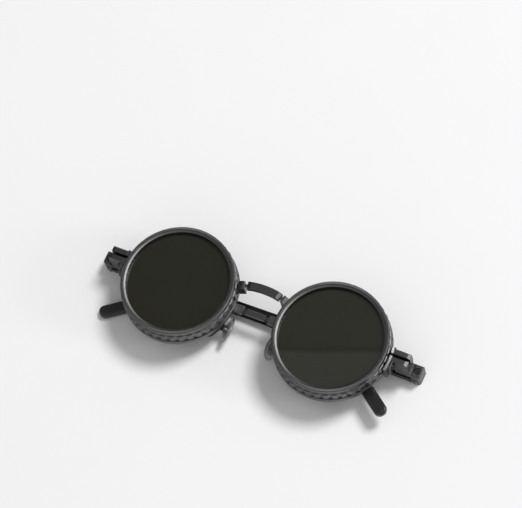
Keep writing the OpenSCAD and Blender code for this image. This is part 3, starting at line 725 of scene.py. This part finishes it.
@dataclass
class LensCell:
    """A rim with its fixed lens, and the scalloped bezel with the second lens that turns on it.

    Radii are about the lens axis and heights above the table. They are the solids' own, apart
    from the bezel's bore and the holding ring's opening, which are 0.25 and 0.4 smaller: the
    bright ring round the lens is that wide.

    Attributes:
        side: which half of the glasses.
        centre_x: distance of the lens axis from the middle.
        front_z, bezel_height, bezel_back: height of the bezel's face, its own height, its back.
        front_r, front_wall, bore_r: outside, wall and bore of its front ring.
        ring_height, ring_bevel, mouth_bevel: of the front ring.
        groove_depth, groove_width, groove_bevel: of the relief groove behind it.
        grip_step, grip_r: how far the scalloped grip stands out, and its radius.
        grip_bevel, back_bevel: of the grip.
        lens_r, lens_t, lens_bevel: of either lens.
        front_lip, lens_top, lens_low: depth of the front lens under the face, and its height.
        rear_lens_low: height of the rear lens's back.
        lens_fit, seat_r: gap round the front lens, and radius of its pocket.
        lens_step, step_r: width of the step that it rests on, and radius inside it.
        step_t, shoulder: thickness of the step, and height of its back.
        bearing_step, bearing_r, bearing_bevel: of the bore that runs on the rim's neck.
        snap_up, snap_z: middle of the snap ring's groove, over the back and over the table.
        snap_half, snap_depth: half width and depth of that groove.
        ring_fit, ring_wall, opening_r: gap, wall and opening of the holding ring.
        recess, slope: of the holding ring's front under the face, and how steep it is.
        scallops, scallop_r, scallop_depth: number, cutter's radius and depth.
        ridge: how softly the ridges between the scallops are rounded.
        corner_r, ring_corner_r, lens_corner_r: radii of the small rounded corners.
        tool_pitch: distance of the lines that the lathe leaves.
        turned_steps, scallop_steps: columns in the full turn of a plain ring, and in a scallop.
        lens_steps, lens_rings: columns in the full turn of a lens, and rings on each face.
    """

    side: Side
    centre_x: float = 35.9
    front_z: float = 20.6
    bezel_height: float = 7.2
    bezel_back: float = front_z - bezel_height
    front_r: float = 25.0
    front_wall: float = 1.35
    bore_r: float = front_r - front_wall
    ring_height: float = 2.6
    ring_bevel: float = 0.35
    mouth_bevel: float = 0.15
    groove_depth: float = 0.3
    groove_width: float = 0.3
    groove_bevel: float = 0.15
    grip_step: float = 0.5
    grip_r: float = front_r + grip_step
    grip_bevel: float = 0.25
    back_bevel: float = 0.3
    lens_r: float = 23.5
    lens_t: float = 1.2
    lens_bevel: float = 0.2
    front_lip: float = 2.5
    lens_top: float = front_z - front_lip
    lens_low: float = lens_top - lens_t
    rear_lens_low: float = 11.45
    lens_fit: float = 0.1
    seat_r: float = lens_r + lens_fit
    lens_step: float = 0.8
    step_r: float = lens_r - lens_step
    step_t: float = 1.2
    shoulder: float = lens_low - step_t
    bearing_step: float = 0.6
    bearing_r: float = lens_r + bearing_step
    bearing_bevel: float = 0.2
    snap_up: float = 0.95
    snap_z: float = bezel_back + snap_up
    snap_half: float = 0.43
    snap_depth: float = 0.41
    ring_fit: float = 0.05
    ring_wall: float = 0.95
    opening_r: float = bore_r - ring_fit - ring_wall
    recess: float = 0.3
    slope: float = 0.36
    scallops: int = 40
    scallop_r: float = 1.6
    scallop_depth: float = 0.45
    ridge: float = 0.035
    corner_r: float = 0.09
    ring_corner_r: float = 0.07
    lens_corner_r: float = 0.05
    tool_pitch: float = 0.3
    turned_steps: int = 480
    scallop_steps: int = 20
    lens_steps: int = 160
    lens_rings: int = 9

    def fine_turned(self, name: str) -> AnodisedAluminium:
        """Returns a turned finish that stretches highlights round the ring."""
        return AnodisedAluminium(self.side.node(name), line_pitch=self.tool_pitch, roughness=0.42,
                                 gloss=1.0, centre_x=self.side.value * self.centre_x,
                                 turned_sheen=0.6)

    def turned_metal(self) -> AnodisedAluminium:
        """Returns the finish of the turned pieces of this cell."""
        return AnodisedAluminium(self.side.node("turned_black_anodised_aluminium"),
                                 line_pitch=self.tool_pitch, roughness=0.31, gloss=1.0,
                                 centre_x=self.side.value * self.centre_x)

    def scallop_limit(self, columns: int) -> np.ndarray:
        """Works out the radius of the scalloped grip at each angle.

        A scallop is cut by a cylinder whose axis stands D = grip + cutter - depth away, so at an
        angle d from its middle the cut lies at D cos d - root(cutter^2 - (D sin d)^2). The grip
        is the soft minimum of that and the grip's radius, which rounds the ridges.

        Args:
            columns: steps in the full turn.

        Returns:
            One radius a column.
        """
        pitch = 2 * np.pi / self.scallops
        turn = np.arange(columns) * (2 * np.pi / columns)
        off = (np.mod(turn / pitch, 1.0) - 0.5) * pitch
        far = self.grip_r + self.scallop_r - self.scallop_depth
        inside = np.clip(self.scallop_r ** 2 - (far * np.sin(off)) ** 2, 0, None)
        uncut = self.grip_r + 1
        cut = np.where(inside > 0, far * np.cos(off) - np.sqrt(inside), uncut)
        level = self.front_r  # taken off both, so that the powers stay small
        return level - self.ridge * np.log(np.exp(-(cut - level) / self.ridge)
                                           + np.exp(-(self.grip_r - level) / self.ridge))

    def bezel(self) -> None:
        """Builds the bezel: front ring, relief groove, scalloped grip, bearing bore and lens seat.

        The outline runs from the mouth of the bore over the outside to the back with rounded
        corners, and then up the bearing, round the snap ring's groove and past the lens seat.
        """
        z, back, b = self.front_z, self.bezel_back, self.ring_bevel
        ring_z = z - self.ring_height
        groove_r, groove_top = self.front_r - self.groove_depth, ring_z - self.groove_bevel
        groove_low = groove_top - self.groove_width
        grip_z = groove_low - self.groove_bevel
        outside = rounded([
            [self.bore_r, self.lens_top], [self.bore_r, z - self.mouth_bevel],
            [self.bore_r + self.mouth_bevel, z],
            [self.front_r - b, z], [self.front_r, z - b], [self.front_r, ring_z],
            [groove_r, groove_top], [groove_r, groove_low],
            [self.grip_r - self.grip_bevel, grip_z], [self.grip_r, grip_z - self.grip_bevel],
            [self.grip_r, back + self.back_bevel], [self.grip_r - self.back_bevel, back],
            [self.bearing_r + self.bearing_bevel, back]], self.corner_r)
        lead_in = 6  # points of the first corner, which only sets the direction
        snap_low, snap_high = self.snap_z - self.snap_half, self.snap_z + self.snap_half
        snap_r = self.bearing_r + self.snap_depth
        inside = np.array([
            [self.bearing_r, back + self.bearing_bevel], [self.bearing_r, snap_low],
            [snap_r, snap_low], [snap_r, snap_high], [self.bearing_r, snap_high],
            [self.bearing_r, self.shoulder], [self.step_r, self.shoulder],
            [self.step_r, self.lens_low], [self.seat_r, self.lens_low],
            [self.seat_r, self.lens_top], [self.bore_r, self.lens_top]])
        outline = np.vstack([outside[lead_in:], inside])
        clear = 0.05  # of the groove's own corner
        grip = (outline[:, 0] > groove_r + 2 * clear) & (outline[:, 1] < groove_low - clear)
        columns = self.scallops * self.scallop_steps
        grid = turned(outline, columns, self.centre_x, self.scallop_limit(columns), grip)
        grid.points = self.side.mirror(grid.points)
        make_piece(self.side.node("scalloped_bezel"), [grid],
                   self.fine_turned("scalloped_bezel_black_anodised"),
                   self.side.node("tint_bezel"), [self.side.node("bezel")])

    def holding_ring(self) -> None:
        """Builds the ring over the front lens, whose front slopes down to the lens all round."""
        out, top = self.bore_r - self.ring_fit, self.front_z - self.recess
        fall = self.slope * (out - self.opening_r)
        outline = rounded([[self.opening_r, self.lens_top], [out, self.lens_top], [out, top],
                           [self.opening_r, top - fall]], self.ring_corner_r)
        grid = turned(outline, self.turned_steps, self.centre_x)
        grid.points = self.side.mirror(grid.points)
        make_piece(self.side.node("lens_holding_ring"), [grid],
                   self.fine_turned("fine_turned_ring"), self.side.node("tint_bezel"),
                   [self.side.node("front_ring")])

    def lens(self, name: str, low: float, body: str) -> None:
        """Builds one flat lens with a ground edge.

        Args:
            name: the solid that it replaces.
            low: height of its back.
            body: the body that it rides on.
        """
        top, r, b = low + self.lens_t, self.lens_r, self.lens_bevel
        flat, lead_in = r - 2 * b, 4  # the first and last corners only set the direction
        edge = rounded([[flat, low], [r - b, low], [r, low + b], [r, top - b], [r - b, top],
                        [flat, top]], self.lens_corner_r, steps=2)[lead_in:-lead_in]
        rings = np.linspace(0, r - 3 * b, self.lens_rings)
        outline = np.vstack([np.column_stack([rings, np.full_like(rings, low)]), edge,
                             np.column_stack([rings[::-1], np.full_like(rings, top)])])
        grid = turned(outline, self.lens_steps, self.centre_x, closed=False)
        grid.points = self.side.mirror(grid.points)
        make_piece(self.side.node("polarising_" + name), [grid], PolarisingLens("polarising_lens"),
                   body, [self.side.node(name)])

    def make(self) -> None:
        """Builds the turning bezel and both lenses, and dresses the rim and the small pieces."""
        self.bezel()
        self.holding_ring()
        self.lens("front_lens", self.lens_low, self.side.node("tint_bezel"))
        self.lens("rear_lens", self.rear_lens_low, "frame")
        for name in ("rim", "rear_ring"):
            dress(self.side.node(name), self.turned_metal())
        for name in ("snap_ring", "stop_pin"):
            dress(self.side.node(name), Steel("drawn_steel_wire"))


@dataclass
class Temple:
    """A folded temple: hinge block, flat blade that droops behind the ear, and soft tip.

    Attributes:
        side: which half of the glasses.
        hinge_x, axis_z: place of the hinge pin.
        straight, bend_r, bend_a, end: length of the blade before its bend, the bend's radius and
            angle, and the length after it.
        blade_y: height of the blade's middle line on the wearer.
        sleeve_bend, sleeve_a: part of the bend that the sleeve covers, and where it starts.
        sleeve_gap: angle between the sleeve's mouth and its place in the bend.
        sleeve_t, sleeve_h, sleeve_corner: thickness, height and corner radius of the sleeve.
        beyond: how far the sleeve reaches past the blade.
        mouth_depth, mouth_step: depth of the mouth's rounding, and its share of the section.
        mouth_power, end_power, edge_power: bluntness of the mouth, of the end's outline, and of
            the end seen from its edge.
        rows: rows in the sleeve's bend and as many in its straight part.
        mouth_rows, end_rows: rows in the mouth and in the end.
    """

    side: Side
    hinge_x: float = 72.8
    axis_z: float = 1.7
    straight: float = 89.0
    bend_r: float = 58.0
    bend_a: float = 36.0
    end: float = 20.0
    blade_y: float = 3.4
    sleeve_bend: float = 8.3
    sleeve_a: float = bend_a - sleeve_bend
    sleeve_gap: float = 0.05
    sleeve_t: float = 3.2
    sleeve_h: float = 5.8
    sleeve_corner: float = 1.15
    beyond: float = 2.0
    mouth_depth: float = 0.35
    mouth_step: float = 0.12
    mouth_power: float = 2.4
    end_power: float = 2.0
    edge_power: float = 5.0
    rows: int = 14
    mouth_rows: int = 6
    end_rows: int = 16

    def placed(self, points: np.ndarray) -> np.ndarray:
        """Moves points drawn about the hinge axis to this temple.

        Args:
            points: array whose last axis is x, y, z, x pointing away from the blade.

        Returns:
            The points, lifted towards the lenses by the fold's angle and mirrored to the side.
        """
        a = np.radians(FOLD_LIFT[self.side])
        x, y, z = points[..., 0], points[..., 1], points[..., 2]
        moved = np.stack([x * np.cos(a) + z * np.sin(a) + self.hinge_x, y,
                          z * np.cos(a) - x * np.sin(a) + self.axis_z], -1)
        return self.side.mirror(moved)

    def tip(self) -> None:
        """Builds the soft tip: a rounded sleeve along the end of the bend and the straight end.

        Its middle line follows the bend of radius R about (-straight, blade - R), from the angle
        where the sleeve starts, and then the tangent. The mouth is blunt and the end a half round,
        whose thickness at a share t of its length is the root of 1 - t^edge_power.
        """
        half, thick_half = self.sleeve_h / 2, self.sleeve_t / 2
        a = np.radians(90 + np.linspace(self.sleeve_a + self.sleeve_gap, self.bend_a, self.rows))
        out = np.column_stack([np.cos(a), np.sin(a)])
        along = np.column_stack([-np.sin(a), np.cos(a)])
        bend = np.array([-self.straight, self.blade_y - self.bend_r]) + self.bend_r * out
        t_mouth, mouth = (v[:0:-1] for v in closing(self.mouth_rows, self.mouth_power))
        first = bend[0] + (self.mouth_depth * (1 - t_mouth))[:, None] * along[0]
        t_end, half_round = (v[1:] for v in closing(self.end_rows, self.end_power))
        run = self.end - half + self.beyond
        far = np.concatenate([np.linspace(1, run, self.rows), run + half * t_end])
        line = np.vstack([first[:1], first, bend, bend[-1] + far[:, None] * along[-1]])
        across = np.vstack([np.repeat(out[:1], len(first) + 1, 0), out,
                            np.repeat(out[-1:], len(far), 0)])
        start = np.concatenate([[0.0], 1 - self.mouth_step * (1 - mouth), np.ones(2 * self.rows)])
        blunt = np.sqrt(np.clip(1 - t_end ** self.edge_power, 0, 1))
        path = np.column_stack([line, np.full(len(line), thick_half - self.axis_z)])
        section = rounded([[-half, -thick_half], [half, -thick_half], [half, thick_half],
                           [-half, thick_half]], self.sleeve_corner, steps=8)
        grid = swept(path, np.column_stack([across, np.zeros(len(across))]),
                     np.array([0, 0, 1.0]), section, np.concatenate([start, half_round]),
                     np.concatenate([start, blunt]))
        grid.points = self.placed(grid.points)
        make_piece(self.side.node("soft_tip"), [grid], MouldedRubber("moulded_black_rubber"),
                   self.side.node("temple_arm"), [self.side.node("tip_sleeve")])

    def make(self) -> None:
        """Builds the tip and dresses the temple, its hinge block and the screws."""
        self.tip()
        dress(self.side.node("temple"), SatinCoat("satin_black_coated_steel"))
        milled = AnodisedAluminium("milled_black_anodised_aluminium")
        for name in ("endpiece", "hinge_block"):
            dress(self.side.node(name), milled)
        screw = Steel("blackened_screw_steel", colour="#3a3a3c", rubbed="#a9aaac", roughness=0.3)
        for name in ("endpiece_screw", "tension_screw", "block_screw", "tip_screw", "pad_screw"):
            dress(self.side.node(name), screw)
        dress(self.side.node("hinge_pin"), Steel("turned_steel_pin", colour="#6e6f71"))


@dataclass
class NosePad:
    """A soft pad on a metal core, held in the box of its wire arm by a cross screw.

    Attributes:
        side: which half of the glasses.
        x, y, z: place of the pad's middle.
        width, length, thick: of the pad.
        tilt: degrees that its back leans from the lens axis.
        box_gap, axis_up: gap between the pad and its box, and height of the screw over the pad.
        egg: how much wider the pad is below than above, as a share.
        dome, flat: bluntness of the pad's face, and of its back and its plate.
        core, core_thick: size of the plate inside, as a share of the pad, and half its thickness.
        stem, stem_corner, stem_long, stem_cap: half the stem's width, its corners' radius, its
            length over its width, and the height of its round end.
        stem_up: heights of the stem's first rows.
        columns, pad_rows, core_rows, cap_rows: steps round the pad, rings on each of its faces
            and of the plate's, and rows in the stem's end.
        skin: length of the pad's surface across and round, for the UV map.
    """

    side: Side
    x: float = 10.6
    y: float = -8.5
    z: float = 5.0
    width: float = 6.6
    length: float = 12.6
    thick: float = 1.7
    tilt: float = 50.0
    egg: float = 0.08
    dome: float = 2.6
    flat: float = 6.0
    core: float = 0.62
    core_thick: float = 0.2
    stem: float = 0.5
    box_gap: float = 0.35
    axis_up: float = thick / 2 + box_gap + stem
    stem_corner: float = 0.2
    stem_long: float = 1.2
    stem_cap: float = 0.35
    stem_up: tuple[float, ...] = (0.0, 0.2, 0.5, 0.9)
    columns: int = 96
    pad_rows: int = 16
    core_rows: int = 6
    cap_rows: int = 5
    skin: tuple[float, float] = (8.0, 30.0)

    def placed(self, points: np.ndarray) -> np.ndarray:
        """Moves points drawn on the pad's own axes to this side's pad.

        Args:
            points: array whose last axis is x, y, z, z pointing away from the nose.

        Returns:
            The points, tilted, moved to the pad's place and mirrored to the side.
        """
        a = np.radians(self.tilt)
        px, py, pz = points[..., 0], points[..., 1], points[..., 2]
        moved = np.stack([px * np.cos(a) + pz * np.sin(a) + self.x, py + self.y,
                          pz * np.cos(a) - px * np.sin(a) + self.z], -1)
        return self.side.mirror(moved)

    def oval(self, size: float, depth: float, dome: float, rows: int) -> Grid:
        """Makes a closed oval body, domed below and flatter above.

        At a share s of the way out, the half width is s times the oval's, and the height is
        depth * (1 - s^dome)^(1/2) below and depth * (1 - s^flat)^(1/2) above.

        Args:
            size: share of the pad's outline.
            depth: depth of the dome on the nose side, and height of the back.
            dome: how blunt the dome is.
            rows: rings on each face.

        Returns:
            The body about the pad's middle.
        """
        s = np.sin(np.linspace(0, np.pi / 2, rows))
        down = -depth * np.sqrt(np.clip(1 - s ** dome, 0, 1))
        up = depth * np.sqrt(np.clip(1 - s ** self.flat, 0, 1))
        reach = size / 2 * np.concatenate([s, s[-2::-1]])[:, None]
        z = np.concatenate([down, up[-2::-1]])
        a = np.arange(self.columns) * (2 * np.pi / self.columns)
        x = reach * self.width * np.cos(a) * (1 - self.egg * np.sin(a))
        y = reach * self.length * np.sin(a)
        z = np.repeat(z[:, None], self.columns, 1)
        return Grid(np.stack([x, y, z], -1), False, True, *self.skin)

    def make(self) -> None:
        """Builds the pad and its core, and dresses the arm."""
        body = self.side.node("swivel_pad")
        pad = self.oval(1.0, self.thick / 2, self.dome, self.pad_rows)
        plate = self.oval(self.core, self.core_thick, self.flat, self.core_rows)
        half = self.stem
        section = rounded([[-half, -half], [half, -half], [half, half], [-half, half]],
                          self.stem_corner, steps=3)
        t, cap = closing(self.cap_rows, 2.0)
        up = np.concatenate([self.stem_up, self.axis_up + self.stem_cap * t])
        path = np.column_stack([np.zeros((len(up), 2)), up])
        scale = np.concatenate([[0.0], np.ones(len(self.stem_up) - 1), cap])
        stem = swept(path, np.repeat([[1.0, 0, 0]], len(up), 0), np.array([0, 1.0, 0]), section,
                     scale, scale * self.stem_long)
        for grid in (pad, plate, stem):
            grid.points = self.placed(grid.points)
        make_piece(self.side.node("silicone_pad"), [pad], MilkySilicone("milky_silicone"),
                   body, [self.side.node("nose_pad")])
        make_piece(self.side.node("pad_core"), [plate, stem],
                   Steel("pad_core_steel", roughness=0.35), body)
        dress(self.side.node("pad_arm"), AnodisedAluminium("milled_black_anodised_aluminium"))


@dataclass
class Bridge:
    """The two bars between the cells."""

    bars: tuple[str, ...] = ("bridge_upper", "bridge_lower")

    def make(self) -> None:
        """Dresses both bars."""
        for bar in self.bars:
            dress(bar, AnodisedAluminium("milled_black_anodised_aluminium"))


# Table, lamps and camera


@dataclass
class Studio:
    """A pale table under soft light, seen from the front of the glasses and to one side.

    Attributes:
        place: the camera's place in metres.
        right, up, back: its axes.
        lens, film: focal length and film width in mm.
        table_half: half the table's side in metres.
        lamps: name, place in metres, size in metres and power in watts of each lamp.
        screen: strength of the overhead screen at its dim side and over the rest.
        screen_slopes: slopes between which it rises from the one to the other.
        batten_way: direction square to the batten, along which it and the strip are measured.
        strip, strip_gain: where the brighter strip starts and is full, and what it adds.
        batten_at, batten_half, batten_end: middle of the batten, half its dark core, and where
            it ends.
        batten_dark: what it takes from the screen.
        horizon: strength away from the viewer and towards the viewer.
        horizon_from: the direction's y at those two.
        screen_from: the direction's z where the screen starts and is full.
    """

    place: tuple[float, float, float] = (0.26826, -0.28020, 0.86466)
    right: tuple[float, float, float] = (0.899511, 0.412149, -0.144957)
    up: tuple[float, float, float] = (-0.323737, 0.851573, 0.412331)
    back: tuple[float, float, float] = (0.293384, -0.323968, 0.899428)
    lens: float = 151.72
    film: float = 36.0
    table_half: float = 4.0
    lamps: tuple[tuple[str, tuple[float, float, float], float, float], ...] = (
        ("key_lamp", (1.29, 1.82, 3.32), 1.3, 114.0),
        ("side_lamp", (3.4, 0.6, 1.3), 1.0, 24.0))
    screen: tuple[float, float] = (0.2, 0.34)
    screen_slopes: tuple[float, float] = (-0.335, -0.3)
    batten_way: tuple[float, float, float] = (0.347, -0.938, 0.4022)
    strip: tuple[float, float] = (0.003, 0.004)
    strip_gain: float = 0.205
    batten_at: float = 0.0021
    batten_half: float = 0.0008
    batten_end: float = 0.0017
    batten_dark: float = 0.1
    horizon: tuple[float, float] = (0.16, 0.66)
    horizon_from: tuple[float, float] = (0.1, -0.9)
    screen_from: tuple[float, float] = (0.35, 0.7)

    def table(self) -> None:
        """Lays the table."""
        half = self.table_half
        mesh = bpy.data.meshes.new("table_top")
        mesh.from_pydata([(-half, -half, 0), (half, -half, 0), (half, half, 0), (-half, half, 0)],
                         [], [(0, 1, 2, 3)])
        mesh.materials.append(PaleTable("matt_white_table").material())
        top = bpy.data.objects.new("table_top", mesh)
        bpy.context.scene.collection.objects.link(top)

    def room(self) -> None:
        """Lights the room: a large soft screen overhead and a dim horizon.

        The horizon is brighter towards the viewer. The screen brightens from one side to the other
        and ends in a dark batten with a brighter strip beyond it, which the right lens mirrors as
        a faint line. A direction's slope is its x over its z.
        """
        world = bpy.data.worlds.new("pale_room")
        world.use_nodes = True
        tree = world.node_tree
        tree.nodes.clear()
        way = add(tree, "TexCoord").outputs["Generated"]
        part = add(tree, "SeparateXYZ", (way,)).outputs
        slope = add(tree, "Math", (part["X"], part["Z"]), operation="DIVIDE")
        side = add(tree, "MapRange", (slope, *self.screen_slopes, *self.screen),
                   interpolation_type="SMOOTHSTEP")
        edge = add(tree, "VectorMath", (way, self.batten_way), operation="DOT_PRODUCT")
        strip = add(tree, "MapRange", (edge, *self.strip, 0.0, self.strip_gain))
        off = add(tree, "Math", (edge, self.batten_at), operation="SUBTRACT")
        near = add(tree, "Math", (off,), operation="ABSOLUTE")
        batten = add(tree, "MapRange", (near, self.batten_half, self.batten_end,
                                        -self.batten_dark, 0.0))
        plain = add(tree, "Math", (side, strip), operation="ADD")
        screen = add(tree, "Math", (plain, batten), operation="ADD")
        horizon = add(tree, "MapRange", (part["Y"], *self.horizon_from, *self.horizon))
        high = add(tree, "MapRange", (part["Z"], *self.screen_from))
        level = add(tree, "Mix", (high, horizon, screen), data_type="FLOAT")
        glow = add(tree, "Background", {"Color": (1, 1, 1, 1), "Strength": level})
        add(tree, "OutputWorld", {"Surface": glow})
        bpy.context.scene.world = world

    def light(self) -> None:
        """Hangs the soft lamps, each facing the middle of the table."""
        for name, place, size, power in self.lamps:
            data = bpy.data.lights.new(name, "AREA")
            data.shape, data.size, data.energy = "DISK", size, power
            lamp = bpy.data.objects.new(name, data)
            lamp.location = place
            lamp.rotation_euler = Vector(place).to_track_quat("Z", "Y").to_euler()
            lamp.visible_camera = False
            bpy.context.scene.collection.objects.link(lamp)

    def camera(self) -> None:
        """Sets the camera at the photograph's place and angle."""
        data = bpy.data.cameras.new("camera")
        data.sensor_fit, data.sensor_width, data.lens = "HORIZONTAL", self.film, self.lens
        data.clip_start, data.clip_end = 0.05, 20.0
        eye = bpy.data.objects.new("camera", data)
        eye.matrix_world = Matrix((*zip(self.right, self.up, self.back, self.place),
                                   (0, 0, 0, 1)))
        bpy.context.scene.collection.objects.link(eye)
        bpy.context.scene.camera = eye

    def make(self) -> None:
        """Builds the whole set."""
        self.table()
        self.room()
        self.light()
        self.camera()
        bpy.context.scene.view_settings.view_transform = "Standard"


def main() -> None:
    """Builds every sub-assembly in order."""
    logging.basicConfig(level=logging.INFO, format="%(name)s: %(message)s")
    Studio().make()
    Bridge().make()
    for side in Side:
        LensCell(side).make()
        Temple(side).make()
        NosePad(side).make()


if __name__ == "__main__":
    main()
